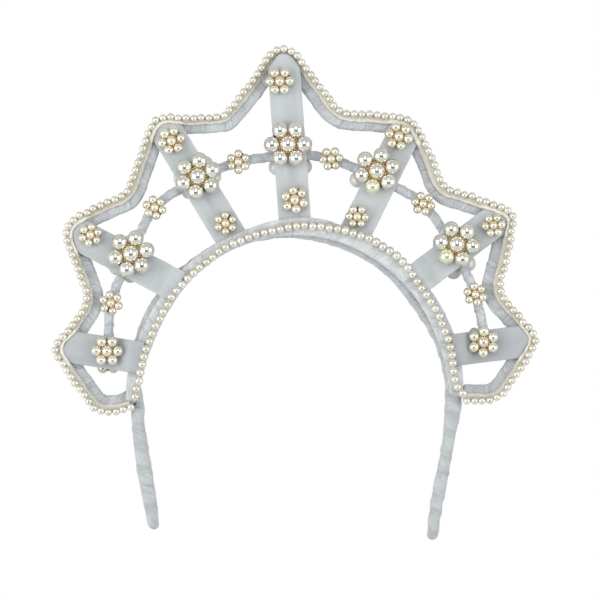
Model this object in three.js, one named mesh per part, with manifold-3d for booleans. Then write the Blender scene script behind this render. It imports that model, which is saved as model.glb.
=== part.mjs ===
// A kokoshnik headdress: an open crown of ribbon wrapped wire, satin bars and pearls, on two legs.
// It lies on its back: X across the head, Y up the crown, Z out of the front. Millimetres.
import * as THREE from "three";
import Module from "manifold-3d";

const wasm = await Module();
wasm.setup();

// Driving sizes, in millimetres.
const ARCH_RADIUS = 76; // centre of the head hollow to the string of pearls round it
const CROWN_REACH = 169.3; // the same centre to the corner of the tallest peak
const LEG_DROP = 78.2; // the same centre down to the tip of the longer leg
const LARGE_PEARL = 8;
const MEDIUM_PEARL = 5.4;
const SMALL_PEARL = 4.9;
const FINE_PEARL = 4.1;
const ARCH_STRING_PEARL = 3.9;
const RIM_STRING_PEARL = 3.7;
const WIRE_THICK = 4.2;
const WIRE_WIDTH = 4.7;
const BAR_THICK = 2;
const BAR_WIDTH = 15.8;
const TAPE_THICK = 0.8;
const TAPE_EDGE = 0.4; // from the rim's line of pearls in to the outer edge of the tape
const TAPE_WIDTH = 3.7;
const RIM_THICK = 3.6;
const RIM_WIDTH = 7.8;
const STRIP_THICK = 2.4;
const BAND_THICK = 6;
const BAND_WIDTH = 6.1;
const GAP = 0.3; // between pieces that touch on the real object
const BAR_TIP_GAP = 0.9; // in the plane, between a bar's tip and the rim's string of pearls

// Heights, stacked from the pearls that it lies on up to the front.
const WIRE_LOW = LARGE_PEARL + GAP;
const WIRE_HIGH = WIRE_LOW + WIRE_THICK;
const BAND_HIGH = WIRE_HIGH;
const BAND_LIFT = BAND_HIGH - BAND_THICK;
const BAR_LOW = WIRE_HIGH + GAP;
const BAR_HIGH = BAR_LOW + BAR_THICK;
const TAPE_HIGH = BAR_LOW - GAP;
const TAPE_LOW = TAPE_HIGH - TAPE_THICK;
const RIM_HIGH = TAPE_LOW - GAP;
const RIM_LOW = RIM_HIGH - RIM_THICK;
const STRIP_LOW = BAR_HIGH + GAP;
const STRIP_HIGH = STRIP_LOW + STRIP_THICK;

// The rim's corners from the left end, over the peaks and dips, to the right end.
// reach is a share of CROWN_REACH. The rest are shares of RIM_WIDTH: round is the corner's radius,
// bow is how far the side that follows swells outwards, and deep is how far the wrapped strip
// reaches in from the pearls.
const RIM = {
  leftEnd: { degrees: 188.6, reach: 0.513, round: 0, bow: 0.073, deep: 1.026 },
  leftCorner: { degrees: 188.8, reach: 0.596, round: 1.295, bow: 0.044, deep: 1 },
  peak1: { degrees: 172.5, reach: 0.725, round: 1.077, bow: -0.078, deep: 0.962 },
  dip12: { degrees: 159.1, reach: 0.653, round: 1.679, bow: -0.01, deep: 0.987 },
  peak2: { degrees: 146.9, reach: 0.832, round: 1.513, bow: 0.053, deep: 0.987 },
  dip23: { degrees: 132.6, reach: 0.741, round: 1.295, bow: 0.001, deep: 1.038 },
  peak3: { degrees: 119.1, reach: 0.877, round: 1.282, bow: -0.088, deep: 0.974 },
  dip34: { degrees: 106.2, reach: 0.8, round: 0.462, bow: -0.097, deep: 0.923 },
  peak4: { degrees: 92.9, reach: 1, round: 1.346, bow: -0.004, deep: 1.051 },
  dip45: { degrees: 81.9, reach: 0.786, round: 1.628, bow: 0.01, deep: 1.051 },
  peak5: { degrees: 67, reach: 0.831, round: 1.795, bow: 0.073, deep: 0.987 },
  dip56: { degrees: 53.8, reach: 0.696, round: 1.436, bow: 0.046, deep: 0.987 },
  peak6: { degrees: 38.3, reach: 0.792, round: 0.949, bow: 0.06, deep: 1.051 },
  dip67: { degrees: 24.5, reach: 0.625, round: 1.59, bow: 0.023, deep: 1.077 },
  peak7: { degrees: 10.4, reach: 0.698, round: 0.987, bow: 0.041, deep: 0.962 },
  rightCorner: { degrees: -5.4, reach: 0.576, round: 1.795, bow: -0.004, deep: 0.974 },
  rightEnd: { degrees: -6.3, reach: 0.483, round: 0, bow: 0, deep: 1 },
};

// The arch from right to left. All but degrees are shares of ARCH_RADIUS: the line of the
// string of pearls, the inner and outer edge of the front strip.
const ARCH = [
  { degrees: -5.2, pearl: 1.055, inner: 0.965, outer: 1.04 },
  { degrees: -3, pearl: 1.03, inner: 0.955, outer: 1.042 },
  { degrees: 1, pearl: 0.988, inner: 0.945, outer: 1.045 },
  { degrees: 12, pearl: 0.99, inner: 0.925, outer: 1.04 },
  { degrees: 26, pearl: 0.985, inner: 0.913, outer: 1.028 },
  { degrees: 38, pearl: 0.985, inner: 0.914, outer: 1.022 },
  { degrees: 50, pearl: 1.015, inner: 0.916, outer: 1.024 },
  { degrees: 62, pearl: 1.022, inner: 0.922, outer: 1.022 },
  { degrees: 72, pearl: 1.019, inner: 0.93, outer: 1.028 },
  { degrees: 81, pearl: 1.011, inner: 0.938, outer: 1.056 },
  { degrees: 92, pearl: 1.004, inner: 0.945, outer: 1.06 },
  { degrees: 104, pearl: 0.993, inner: 0.95, outer: 1.05 },
  { degrees: 116, pearl: 0.994, inner: 0.957, outer: 1.039 },
  { degrees: 127, pearl: 0.984, inner: 0.963, outer: 1.052 },
  { degrees: 140, pearl: 0.99, inner: 0.966, outer: 1.06 },
  { degrees: 155, pearl: 0.998, inner: 0.97, outer: 1.068 },
  { degrees: 165, pearl: 1.012, inner: 0.983, outer: 1.085 },
  { degrees: 172, pearl: 1.027, inner: 1.003, outer: 1.1 },
  { degrees: 178, pearl: 1.035, inner: 1.02, outer: 1.12 },
  { degrees: 182.5, pearl: 1.06, inner: 1.035, outer: 1.128 },
  { degrees: 186.3, pearl: 1.078, inner: 1.052, outer: 1.132 },
];

// The hair band's arch from right to left: reach is a share of ARCH_RADIUS.
const BAND_ARCH = [
  { degrees: 0, reach: 0.967 },
  { degrees: 12, reach: 0.945 },
  { degrees: 26, reach: 0.916 },
  { degrees: 50, reach: 0.919 },
  { degrees: 70, reach: 0.935 },
  { degrees: 90, reach: 0.965 },
  { degrees: 105, reach: 0.987 },
  { degrees: 120, reach: 1.01 },
  { degrees: 140, reach: 1.042 },
  { degrees: 155, reach: 1.061 },
  { degrees: 168, reach: 1.072 },
  { degrees: 177, reach: 1.082 },
];

// The two legs, from each tip up to the arch. drop is a share of LEG_DROP, across of ARCH_RADIUS,
// width of BAND_WIDTH, and lift says how far up the band's own height that point lies.
const RIGHT_LEG = [
  { drop: 1, across: 0.851, width: 0.5, lift: 0 },
  { drop: 0.97, across: 0.854, width: 0.92, lift: 0.02 },
  { drop: 0.815, across: 0.872, width: 1, lift: 0.15 },
  { drop: 0.677, across: 0.898, width: 1.07, lift: 0.32 },
  { drop: 0.457, across: 0.94, width: 0.96, lift: 0.62 },
  { drop: 0.32, across: 0.961, width: 1.04, lift: 0.8 },
  { drop: 0.16, across: 0.983, width: 1.4, lift: 1 },
  { drop: 0.09, across: 0.981, width: 1.3, lift: 1 },
];
const LEFT_LEG = [
  { drop: 0.934, across: -0.95, width: 0.5, lift: 0 },
  { drop: 0.9, across: -0.957, width: 0.92, lift: 0.03 },
  { drop: 0.802, across: -0.972, width: 1.06, lift: 0.14 },
  { drop: 0.583, across: -1.01, width: 1.24, lift: 0.44 },
  { drop: 0.42, across: -1.033, width: 1.17, lift: 0.68 },
  { drop: 0.244, across: -1.056, width: 1, lift: 0.92 },
  { drop: 0.18, across: -1.054, width: 1.13, lift: 1 },
  { drop: 0.09, across: -1.068, width: 1.1, lift: 1 },
];

// The cross wire from right to left: out is the share of the way from ARCH_RADIUS out to the
// rim's inner edge at that angle. flower names the two bars that a flower on it lies between.
const CROSS_WIRE = [
  { degrees: 12.3, out: 0.473 },
  { degrees: 14.6, out: 0.569 },
  { degrees: 26.7, out: 0.776, flower: "67", turn: 41 },
  { degrees: 40.6, out: 0.498 },
  { degrees: 55.6, out: 0.822, flower: "56", turn: 46 },
  { degrees: 68.9, out: 0.548 },
  { degrees: 82.3, out: 0.684, flower: "45", turn: 5 },
  { degrees: 92.8, out: 0.413 },
  { degrees: 105.9, out: 0.692, flower: "34", turn: 30 },
  { degrees: 117.5, out: 0.565 },
  { degrees: 130, out: 0.791, flower: "23", turn: 42 },
  { degrees: 145.4, out: 0.503 },
  { degrees: 157.4, out: 0.834, flower: "12", turn: 40 },
  { degrees: 169, out: 0.582 },
  { degrees: 171.2, out: 0.509 },
];

// The seven bars: foot and tip are the degrees of the axis at the arch and at its peak.
const BARS = {
  1: { foot: 171.3, tip: 171.4, peak: "peak1" },
  2: { foot: 142.2, tip: 146.9, peak: "peak2" },
  3: { foot: 115.6, tip: 118.4, peak: "peak3" },
  4: { foot: 92.1, tip: 93.2, peak: "peak4" },
  5: { foot: 70.2, tip: 67.2, peak: "peak5" },
  6: { foot: 41.5, tip: 39.5, peak: "peak6" },
  7: { foot: 11.9, tip: 10.1, peak: "peak7" },
};

// The flowers on the bars: along is a share of the bar's axis from foot to peak, aside is how far
// to the left of it as a share of BAR_WIDTH, and turn is the degrees of one petal.
const BAR_FLOWERS = [
  { kind: "large_flower", bar: 2, along: 0.427, aside: -0.235, turn: 14, pearl: LARGE_PEARL },
  { kind: "large_flower", bar: 3, along: 0.503, aside: -0.106, turn: 25, pearl: LARGE_PEARL },
  { kind: "large_flower", bar: 4, along: 0.435, aside: 0.044, turn: 0, pearl: LARGE_PEARL },
  { kind: "large_flower", bar: 5, along: 0.516, aside: 0.248, turn: 15, pearl: LARGE_PEARL },
  { kind: "large_flower", bar: 6, along: 0.441, aside: 0.136, turn: 51, pearl: LARGE_PEARL },
  { kind: "medium_flower", bar: 1, along: 0.429, aside: -0.054, turn: 0, pearl: MEDIUM_PEARL },
  { kind: "medium_flower", bar: 7, along: 0.36, aside: 0.141, turn: 27, pearl: MEDIUM_PEARL },
  { kind: "tip_flower", bar: 2, along: 0.763, aside: -0.161, turn: 19, pearl: FINE_PEARL },
  { kind: "tip_flower", bar: 3, along: 0.801, aside: 0.016, turn: 15, pearl: SMALL_PEARL },
  { kind: "tip_flower", bar: 4, along: 0.767, aside: 0.161, turn: 0, pearl: SMALL_PEARL },
  { kind: "tip_flower", bar: 5, along: 0.823, aside: 0.116, turn: 45, pearl: SMALL_PEARL },
  { kind: "tip_flower", bar: 6, along: 0.783, aside: -0.081, turn: 5, pearl: FINE_PEARL },
  { kind: "base_flower", bar: 3, along: 0.137, aside: -0.081, turn: 30, pearl: FINE_PEARL },
  { kind: "base_flower", bar: 4, along: 0.142, aside: -0.041, turn: 41, pearl: SMALL_PEARL },
  { kind: "base_flower", bar: 5, along: 0.142, aside: 0.166, turn: -3, pearl: FINE_PEARL },
];
const BACK_FLOWERS = [
  { bar: 1, along: 0.421, aside: 0.199, turn: 0, pearl: MEDIUM_PEARL },
  { bar: 2, along: 0.423, aside: -0.072, turn: 30, pearl: LARGE_PEARL },
  { bar: 3, along: 0.509, aside: -0.065, turn: 0, pearl: LARGE_PEARL },
  { bar: 4, along: 0.363, aside: 0.003, turn: 30, pearl: LARGE_PEARL },
  { bar: 5, along: 0.454, aside: 0.221, turn: 0, pearl: LARGE_PEARL },
  { bar: 6, along: 0.376, aside: -0.108, turn: 30, pearl: LARGE_PEARL },
  { bar: 7, along: 0.264, aside: 0.103, turn: 27, pearl: MEDIUM_PEARL },
];

// Cross-sections as shares of a strip's width (across) and of its thickness (up).
const FLAT_SECTION = [
  { across: 0, up: 0.5 },
  { across: 0.12, up: 0 },
  { across: 0.88, up: 0 },
  { across: 1, up: 0.5 },
  { across: 0.88, up: 1 },
  { across: 0.12, up: 1 },
];
const TAPE_SECTION = [
  { across: 0, up: 0 },
  { across: 1, up: 0 },
  { across: 1, up: 1 },
  { across: 0, up: 1 },
];
const ROUND_SIDES = 8;
const ROUND_SECTION = Array.from({ length: ROUND_SIDES }, (_, i) => {
  const angle = (2 * Math.PI * (i + 0.5)) / ROUND_SIDES + Math.PI;
  const reach = 0.5 / Math.cos(Math.PI / ROUND_SIDES);
  return { across: 0.5 + reach * Math.cos(angle), up: 0.5 + reach * Math.sin(angle) };
});

const SATIN = new THREE.MeshStandardMaterial({ color: 0xcdd2d4, roughness: 0.5 });
const WRAP = new THREE.MeshStandardMaterial({ color: 0xbcc1cb, roughness: 0.6 });
const TAPE = new THREE.MeshStandardMaterial({ color: 0xe1dccd, roughness: 0.8 });
const CREAM_PEARL = new THREE.MeshStandardMaterial({ color: 0xe8dfcc, roughness: 0.25 });
const WHITE_PEARL = new THREE.MeshStandardMaterial({ color: 0xe6e4de, roughness: 0.2 });

const part = new THREE.Group();

function addNode(name, geometry, material) {
  const mesh = new THREE.Mesh(geometry, material);
  mesh.name = name;
  part.add(mesh);
}

function polar(degrees, reach) {
  const angle = THREE.MathUtils.degToRad(degrees);
  return new THREE.Vector2(Math.cos(angle) * reach, Math.sin(angle) * reach);
}

function rightOf(v) {
  return new THREE.Vector2(v.y, -v.x);
}

// The point where two lines, each a point and a direction, cross.
function crossing(a, u, b, v) {
  const t = ((b.x - a.x) * v.y - (b.y - a.y) * v.x) / (u.x * v.y - u.y * v.x);
  return a.clone().addScaledVector(u, t);
}

// Outline of the rim

const RIM_ROWS = Object.values(RIM);
const RIM_CORNERS = RIM_ROWS.map((row) => polar(row.degrees, row.reach * CROWN_REACH));
const RIM_SIDES = RIM_CORNERS.slice(1).map((corner, i) => corner.clone().sub(RIM_CORNERS[i]).normalize());
const CORNER_STEPS = 3;
const SIDE_STEPS = 2;
const LEAST_ROUND = 1.5;

// The curve that rounds one corner of the rim, moved inwards by depth.
function cornerBend(i, corner, sides, depth) {
  const half = (Math.PI - Math.acos(sides[i - 1].dot(sides[i]))) / 2;
  const isPeak = sides[i - 1].cross(sides[i]) < 0;
  const round = Math.max(RIM_ROWS[i].round * RIM_WIDTH + (isPeak ? -depth : depth), LEAST_ROUND);
  const reach = round / Math.tan(half);
  const start = corner.clone().addScaledVector(sides[i - 1], -reach);
  const end = corner.clone().addScaledVector(sides[i], reach);
  return new THREE.QuadraticBezierCurve(start, corner, end);
}

// The rim's line of pearls moved inwards by inset(row) at each corner, with as many points at
// every inset. Inwards is to the right, because the rows run clockwise.
function rimLine(inset) {
  const sides = RIM_SIDES;
  const inward = sides.map(rightOf);
  const depth = RIM_ROWS.map(inset);
  const sideDepth = sides.map((_, i) => (depth[i] + depth[i + 1]) / 2);
  const origin = sides.map((_, i) => RIM_CORNERS[i].clone().addScaledVector(inward[i], sideDepth[i]));
  const lastCorner = RIM_CORNERS.at(-1).clone().addScaledVector(inward.at(-1), sideDepth.at(-1));
  const corners = [origin[0]];
  for (let i = 1; i < sides.length; i++) {
    corners.push(crossing(origin[i - 1], sides[i - 1], origin[i], sides[i]));
  }
  corners.push(lastCorner);
  const points = [];
  let from = corners[0];
  for (let i = 1; i < corners.length; i++) {
    const corner = corners[i];
    const last = i === corners.length - 1;
    const bend = last ? null : cornerBend(i, corner, sides, sideDepth[i]);
    const start = last ? corner : bend.v0;
    const end = last ? corner : bend.v2;
    const first = i === 1 ? 0 : 1;
    for (let k = first; k < SIDE_STEPS; k++) {
      const share = k / SIDE_STEPS;
      const bow = RIM_ROWS[i - 1].bow * RIM_WIDTH * 4 * share * (1 - share);
      points.push(from.clone().lerp(start, share).addScaledVector(inward[i - 1], -bow));
    }
    if (last) {
      points.push(corner);
    } else {
      points.push(...bend.getPoints(CORNER_STEPS));
    }
    from = end;
  }
  return points;
}

// Solids swept between two edges that have as many points: each section row is a share of the
// way across and up. low and high are the heights at each point.
function sweptStrip(inner, outer, low, high, section) {
  const rings = inner.map((a, i) =>
    section.map(({ across, up }) => {
      const p = a.clone().lerp(outer[i], across);
      return [p.x, p.y, THREE.MathUtils.lerp(low(i), high(i), up)];
    }),
  );
  const sides = section.length;
  const vertices = rings.flat(2);
  const faces = [];
  for (let i = 0; i + 1 < rings.length; i++) {
    for (let k = 0; k < sides; k++) {
      const a = i * sides + k;
      const b = i * sides + ((k + 1) % sides);
      faces.push(a, b, a + sides, b, b + sides, a + sides);
    }
  }
  const end = (rings.length - 1) * sides;
  for (let k = 1; k + 1 < sides; k++) {
    faces.push(0, k + 1, k, end, end + k, end + k + 1);
  }
  const geometry = new THREE.BufferGeometry();
  geometry.setAttribute("position", new THREE.Float32BufferAttribute(vertices, 3));
  geometry.setIndex(faces);
  geometry.computeVertexNormals();
  return facingOut(geometry);
}

// Turns the faces round where a sweep ran the other way.
function facingOut(geometry) {
  const p = geometry.getAttribute("position");
  const index = geometry.index;
  const [a, b, c] = [new THREE.Vector3(), new THREE.Vector3(), new THREE.Vector3()];
  let volume = 0;
  for (let i = 0; i < index.count; i += 3) {
    a.fromBufferAttribute(p, index.getX(i));
    b.fromBufferAttribute(p, index.getX(i + 1));
    c.fromBufferAttribute(p, index.getX(i + 2));
    volume += a.dot(b.cross(c));
  }
  if (volume < 0) {
    for (let i = 0; i < index.count; i += 3) {
      const swap = index.getX(i);
      index.setX(i, index.getX(i + 1));
      index.setX(i + 1, swap);
    }
    geometry.computeVertexNormals();
  }
  return geometry;
}

function makeRim() {
  const line = rimLine(() => 0);
  const inner = rimLine((row) => row.deep * RIM_WIDTH);
  addNode("rim_strip", sweptStrip(inner, line, () => RIM_LOW, () => RIM_HIGH, FLAT_SECTION), WRAP);
  const tapeOuter = rimLine(() => TAPE_EDGE);
  const tapeInner = rimLine(() => TAPE_EDGE + TAPE_WIDTH);
  addNode("rim_tape", sweptStrip(tapeInner, tapeOuter, () => TAPE_LOW, () => TAPE_HIGH, TAPE_SECTION), TAPE);
  const centre = BAR_LOW + RIM_STRING_PEARL / 2;
  addNode("rim_pearls", stringTube(line, centre, RIM_STRING_PEARL), CREAM_PEARL);
}

// A string of fine pearls as a tube of their outer size.
const TUBE_STEP = 2; // pearls to a step
const MOST_TUBE_STEPS = 80;
function stringTube(line, height, pearl) {
  const route = new THREE.CatmullRomCurve3(
    line.map((p) => new THREE.Vector3(p.x, p.y, height)),
    false,
    "centripetal",
  );
  const section = new THREE.Shape();
  for (let i = 0; i < ROUND_SIDES; i++) {
    const angle = (2 * Math.PI * (i + 0.5)) / ROUND_SIDES;
    section[i ? "lineTo" : "moveTo"]((Math.cos(angle) * pearl) / 2, (Math.sin(angle) * pearl) / 2);
  }
  return new THREE.ExtrudeGeometry(section, {
    steps: Math.min(Math.round(route.getLength() / (pearl * TUBE_STEP)), MOST_TUBE_STEPS),
    extrudePath: route,
    curveSegments: 1,
  });
}

const ARCH_STEPS = 30;
function splinePoints(points, steps) {
  return new THREE.SplineCurve(points).getPoints(steps);
}

function makeArch() {
  const edge = (column) => {
    const points = ARCH.map((row) => polar(row.degrees, row[column] * ARCH_RADIUS));
    return splinePoints(points, ARCH_STEPS);
  };
  const strip = sweptStrip(edge("inner"), edge("outer"), () => STRIP_LOW, () => STRIP_HIGH, FLAT_SECTION);
  addNode("arch_strip", strip, SATIN);
  const centre = STRIP_HIGH + GAP + ARCH_STRING_PEARL / 2;
  addNode("arch_pearls", stringTube(edge("pearl"), centre, ARCH_STRING_PEARL), CREAM_PEARL);
}

// Both edges of a round strip of changing width about a line of points.
function edgesOf(line, widths) {
  const inner = [];
  const outer = [];
  line.forEach((p, i) => {
    const before = line[Math.max(i - 1, 0)];
    const after = line[Math.min(i + 1, line.length - 1)];
    const side = after.clone().sub(before).normalize();
    const across = rightOf(side).multiplyScalar(widths[i] / 2);
    inner.push(p.clone().sub(across));
    outer.push(p.clone().add(across));
  });
  return [inner, outer];
}

function makeHairBand() {
  const leg = (row) => ({
    at: new THREE.Vector2(row.across * ARCH_RADIUS, -row.drop * LEG_DROP),
    width: row.width,
    lift: row.lift,
  });
  const arch = BAND_ARCH.map((row) => ({
    at: polar(row.degrees, row.reach * ARCH_RADIUS),
    width: 1,
    lift: 1,
  }));
  const rows = [...RIGHT_LEG.map(leg), ...arch, ...LEFT_LEG.map(leg).reverse()];
  const steps = (rows.length - 1) * 2;
  const line = splinePoints(rows.map((row) => row.at), steps);
  const trait = (column) => (i) => {
    const share = i / 2;
    const k = Math.min(Math.floor(share), rows.length - 2);
    return THREE.MathUtils.lerp(rows[k][column], rows[k + 1][column], share - k);
  };
  const width = trait("width");
  const lift = trait("lift");
  const [inner, outer] = edgesOf(line, line.map((_, i) => width(i) * BAND_WIDTH));
  const thick = (i) => BAND_THICK * Math.min(1, width(i));
  const low = (i) => lift(i) * BAND_LIFT;
  addNode("hair_band", sweptStrip(inner, outer, low, (i) => low(i) + thick(i), ROUND_SECTION), SATIN);
}

// How far out the straight sides between the rim's corners lie at an angle.
function rimReach(degrees) {
  const i = RIM_ROWS.findIndex((row, k) => k > 0 && row.degrees >= degrees && RIM_ROWS[k + 1].degrees < degrees);
  const middle = new THREE.Vector2();
  return crossing(middle, polar(degrees, 1), RIM_CORNERS[i], RIM_SIDES[i]).length();
}

function onWire({ degrees, out }) {
  return polar(degrees, THREE.MathUtils.lerp(ARCH_RADIUS, rimReach(degrees) - RIM_WIDTH, out));
}

function makeCrossWire() {
  const points = CROSS_WIRE.map(onWire);
  const line = splinePoints(points, (points.length - 1) * 2);
  const [inner, outer] = edgesOf(line, line.map(() => WIRE_WIDTH));
  addNode("cross_wire", sweptStrip(inner, outer, () => WIRE_LOW, () => WIRE_HIGH, ROUND_SECTION), WRAP);
}

// Bars

function barFrame(bar) {
  const { foot, tip, peak } = BARS[bar];
  const start = polar(foot, ARCH_RADIUS);
  const end = polar(tip, RIM[peak].reach * CROWN_REACH);
  const along = end.clone().sub(start);
  const length = along.length();
  along.normalize();
  return { start, along, left: new THREE.Vector2(-along.y, along.x), length };
}

// Keeps the part of a convex outline that lies on the inner side of a line.
function clipped(outline, point, inward) {
  const kept = [];
  outline.forEach((a, i) => {
    const b = outline[(i + 1) % outline.length];
    const da = a.clone().sub(point).dot(inward);
    const db = b.clone().sub(point).dot(inward);
    if (da >= 0) kept.push(a);
    if (da * db < 0) kept.push(a.clone().lerp(b, da / (da - db)));
  });
  return kept;
}

const FOOT_SHARE = -0.02; // where the bar ends under the front strip, as a share of its length
const OVERSHOOT_SHARE = 1.2; // how long it is before its tip is cut to the peak
const ROUNDED_SHARES = [0.35, 0.65]; // how far up the bar its edge is at full width
const BAR_EDGE = 0.5; // how far the satin rounds in at the edge
const TIP_FACETS = 3; // the tip follows the rounded peak in this many steps
function makeBar(bar) {
  const { start, along, left, length } = barFrame(bar);
  const corner = (share, side) =>
    start.clone().addScaledVector(along, share * length).addScaledVector(left, (side * BAR_WIDTH) / 2);
  const row = Object.keys(RIM).indexOf(BARS[bar].peak);
  const inset = RIM_STRING_PEARL / 2 + BAR_TIP_GAP;
  const outline = (shrink) => {
    let shape = [
      corner(FOOT_SHARE, -1),
      corner(OVERSHOOT_SHARE, -1),
      corner(OVERSHOOT_SHARE, 1),
      corner(FOOT_SHARE, 1),
    ];
    for (const i of [row - 1, row]) {
      const bow = Math.max(-RIM_ROWS[i].bow * RIM_WIDTH, 0);
      const inward = rightOf(RIM_SIDES[i]);
      shape = clipped(shape, RIM_CORNERS[i].clone().addScaledVector(inward, inset + bow), inward);
    }
    const bend = cornerBend(row, RIM_CORNERS[row], RIM_SIDES, 0);
    for (let k = 0; k <= TIP_FACETS; k++) {
      const inward = rightOf(bend.getTangent(k / TIP_FACETS));
      shape = clipped(shape, bend.getPoint(k / TIP_FACETS).addScaledVector(inward, inset), inward);
    }
    const centre = start.clone().addScaledVector(along, length / 2);
    return shape.map((p) => {
      const fromCentre = p.clone().sub(centre);
      const across = fromCentre.dot(left);
      const out = fromCentre.dot(along);
      const narrow = across - Math.sign(across) * shrink;
      const short = out - Math.sign(out) * shrink;
      return centre.clone().addScaledVector(left, narrow).addScaledVector(along, short);
    });
  };
  const rim = outline(0);
  const face = outline(BAR_EDGE);
  const layers = [
    { points: face, height: BAR_LOW },
    ...ROUNDED_SHARES.map((share) => ({ points: rim, height: BAR_LOW + BAR_THICK * share })),
    { points: face, height: BAR_HIGH },
  ];
  const count = rim.length;
  const vertices = layers.flatMap(({ points, height }) => points.flatMap((p) => [p.x, p.y, height]));
  const faces = [];
  for (let layer = 0; layer < 3; layer++) {
    for (let k = 0; k < count; k++) {
      const a = layer * count + k;
      const b = layer * count + ((k + 1) % count);
      faces.push(a, b, b + count, a, b + count, a + count);
    }
  }
  for (let k = 1; k + 1 < count; k++) {
    faces.push(0, k + 1, k, 3 * count, 3 * count + k, 3 * count + k + 1);
  }
  const geometry = new THREE.BufferGeometry();
  geometry.setAttribute("position", new THREE.Float32BufferAttribute(vertices, 3));
  geometry.setIndex(faces);
  geometry.computeVertexNormals();
  addNode("bar_" + bar, facingOut(geometry), SATIN);
}

// Flowers: six pearls round one, as one body

const PETALS = 6;
const PETAL_SIDES = 10;
const HEART_SIDES = 12;
const RING_SHARE = 1.01; // the ring's radius as a share of a pearl: the petals all but touch
const PETAL_SHARE = 1.01; // a petal's corners as a share of a pearl's radius
const WELD = 0.05; // how deep the middle pearl's flats sink into the petals' flats
// Heights and radii of a pearl's two rings, as shares of its own radius.
const PEARL_RINGS = [
  { height: -0.42, reach: 1 },
  { height: 0.42, reach: 1 },
];

// A closed pearl of rings of points between two poles, with the middle of one flat at facing.
function pearlSolid(centre, height, pearl, sides, corner, facing) {
  const radius = pearl / 2;
  const vertices = [centre.x, centre.y, height - radius, centre.x, centre.y, height + radius];
  for (const ring of PEARL_RINGS) {
    for (let k = 0; k < sides; k++) {
      const at = polar(facing + (180 * (2 * k + 1)) / sides, ring.reach * corner).add(centre);
      vertices.push(at.x, at.y, height + ring.height * radius);
    }
  }
  const faces = [];
  for (let k = 0; k < sides; k++) {
    const low = 2 + k;
    const next = 2 + ((k + 1) % sides);
    faces.push(0, next, low);
    faces.push(low, next, next + sides, low, next + sides, low + sides);
    faces.push(1, low + sides, next + sides);
  }
  return new wasm.Manifold(
    new wasm.Mesh({
      numProp: 3,
      vertProperties: new Float32Array(vertices),
      triVerts: new Uint32Array(faces),
    }),
  );
}

function geometryOf(solid) {
  const mesh = solid.getMesh();
  const vertices = [];
  for (let i = 0; i < mesh.numVert; i++) {
    vertices.push(...mesh.vertProperties.slice(i * mesh.numProp, i * mesh.numProp + 3));
  }
  const geometry = new THREE.BufferGeometry();
  geometry.setAttribute("position", new THREE.Float32BufferAttribute(vertices, 3));
  geometry.setIndex([...mesh.triVerts]);
  geometry.computeVertexNormals();
  return geometry;
}

function makeFlower(name, centre, low, pearl, turn, material) {
  const height = low + pearl / 2;
  const ring = pearl * RING_SHARE;
  const petalCorner = (PETAL_SHARE * pearl) / 2;
  const heartFlat = ring - petalCorner * Math.cos(Math.PI / PETAL_SIDES) + WELD;
  const heartCorner = heartFlat / Math.cos(Math.PI / HEART_SIDES);
  const pearls = [pearlSolid(centre, height, pearl, HEART_SIDES, heartCorner, turn)];
  for (let i = 0; i < PETALS; i++) {
    const angle = turn + (360 * i) / PETALS;
    const at = polar(angle, ring).add(centre);
    pearls.push(pearlSolid(at, height, pearl, PETAL_SIDES, petalCorner, angle + 180));
  }
  addNode(name, geometryOf(wasm.Manifold.union(pearls)), material);
}

function onBar({ bar, along, aside }) {
  const frame = barFrame(bar);
  return frame.start
    .clone()
    .addScaledVector(frame.along, along * frame.length)
    .addScaledVector(frame.left, aside * BAR_WIDTH);
}

function makeFlowers() {
  for (const row of BAR_FLOWERS) {
    const material = row.pearl === LARGE_PEARL ? WHITE_PEARL : CREAM_PEARL;
    const name = row.kind + "_" + row.bar;
    makeFlower(name, onBar(row), BAR_HIGH + GAP, row.pearl, row.turn, material);
  }
  for (const row of BACK_FLOWERS) {
    const low = LARGE_PEARL - row.pearl;
    makeFlower("back_flower_" + row.bar, onBar(row), low, row.pearl, row.turn, WHITE_PEARL);
  }
  for (const row of CROSS_WIRE.filter(({ flower }) => flower)) {
    makeFlower("wire_flower_" + row.flower, onWire(row), WIRE_HIGH + GAP, FINE_PEARL, row.turn, CREAM_PEARL);
  }
}

makeHairBand();
makeArch();
makeRim();
makeCrossWire();
Object.keys(BARS).forEach(makeBar);
makeFlowers();

// The frame's origin is the middle of the bottom of its box.
const box = new THREE.Box3().setFromObject(part);
const middle = box.getCenter(new THREE.Vector3());
part.position.set(-middle.x, -middle.y, -box.min.z);

export default part;
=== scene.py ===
import math

import bpy
import numpy as np
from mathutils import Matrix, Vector


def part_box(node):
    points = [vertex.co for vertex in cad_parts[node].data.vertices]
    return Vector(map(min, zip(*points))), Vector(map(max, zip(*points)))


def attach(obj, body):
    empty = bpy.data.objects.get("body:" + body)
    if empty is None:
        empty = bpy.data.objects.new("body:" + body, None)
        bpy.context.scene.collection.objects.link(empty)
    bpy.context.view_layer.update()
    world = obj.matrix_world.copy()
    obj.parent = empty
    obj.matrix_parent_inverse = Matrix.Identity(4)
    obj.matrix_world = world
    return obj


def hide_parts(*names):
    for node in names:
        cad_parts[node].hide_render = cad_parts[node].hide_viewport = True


# The looks of a kokoshnik headdress: satin wound wire, satin bars, woven tape and pearls.
# Every piece stands in the place of its solid. Its lengths are in millimetres until its mesh is
# made, and those of materials and of the stage are in metres.
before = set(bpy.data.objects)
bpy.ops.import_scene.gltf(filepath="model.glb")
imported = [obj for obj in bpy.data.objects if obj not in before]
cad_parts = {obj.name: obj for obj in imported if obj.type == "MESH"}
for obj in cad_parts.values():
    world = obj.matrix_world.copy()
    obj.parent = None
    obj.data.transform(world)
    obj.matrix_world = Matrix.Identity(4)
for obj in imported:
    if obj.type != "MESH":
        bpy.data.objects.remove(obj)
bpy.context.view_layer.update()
MM = 0.001
TURN = 2 * math.pi

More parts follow.
